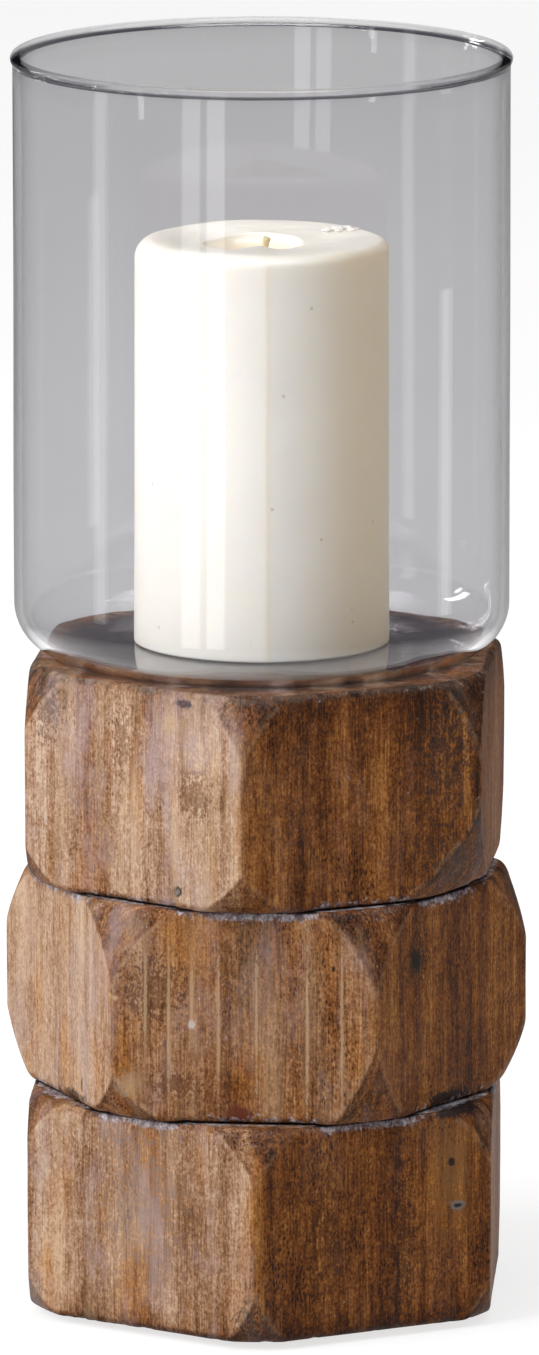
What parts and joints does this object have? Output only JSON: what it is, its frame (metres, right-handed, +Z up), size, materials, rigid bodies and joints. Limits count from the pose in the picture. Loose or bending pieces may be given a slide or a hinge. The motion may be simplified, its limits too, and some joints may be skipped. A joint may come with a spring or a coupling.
{
  "type": "hurricane candle holder",
  "caption": "Hurricane candle holder: stacked hexagonal carved wood blocks carry a straight glass cup with a rolled rim, and a pillar candle stands in the cup.",
  "frame": {"origin": "on the wood stack's axis, at the floor under the felt pads", "axes": "+Z up through the cup's mouth, -Y towards the viewer, where a corner of the upper block points, +X to the viewer's right"},
  "size_m": [0.1554, 0.1582, 0.372],
  "materials": {
    "wood": "reclaimed pine, brown stain with a pale wash left in the hollows, matt",
    "dowel_wood": "plain beech",
    "steel": "zinc plated",
    "felt": "pressed felt",
    "glass": "clear blown glass with a faint grey cast",
    "wax": "ivory wax, soft sheen, translucent",
    "cotton": "waxed braided cotton",
    "tin": "tinned sheet"
  },
  "bodies": {
    "base": {"lower_block": "wood", "middle_block": "wood", "upper_block": "wood", "tie_rod": "steel", "bottom_washer": "steel", "bottom_nut": "steel", "top_washer": "steel", "top_nut": "steel", "lower_dowel_left": "dowel_wood", "lower_dowel_right": "dowel_wood", "upper_dowel_left": "dowel_wood", "upper_dowel_right": "dowel_wood", "felt_pad_1": "felt", "felt_pad_2": "felt", "felt_pad_3": "felt", "felt_pad_4": "felt", "felt_pad_5": "felt", "felt_pad_6": "felt"},
    "cup": {"glass_hurricane": "glass"},
    "candle": {"candle": "wax", "wick": "cotton", "wick_tab": "tin"}
  },
  "joints": [
    {"name": "glass_lift", "type": "slide", "parent": "base", "child": "cup", "axis": [0, 0, 1], "range_m": [0, 0.08]},
    {"name": "candle_lift", "type": "slide", "parent": "cup", "child": "candle", "axis": [0, 0, 1], "range_m": [0, 0.2]}
  ]
}
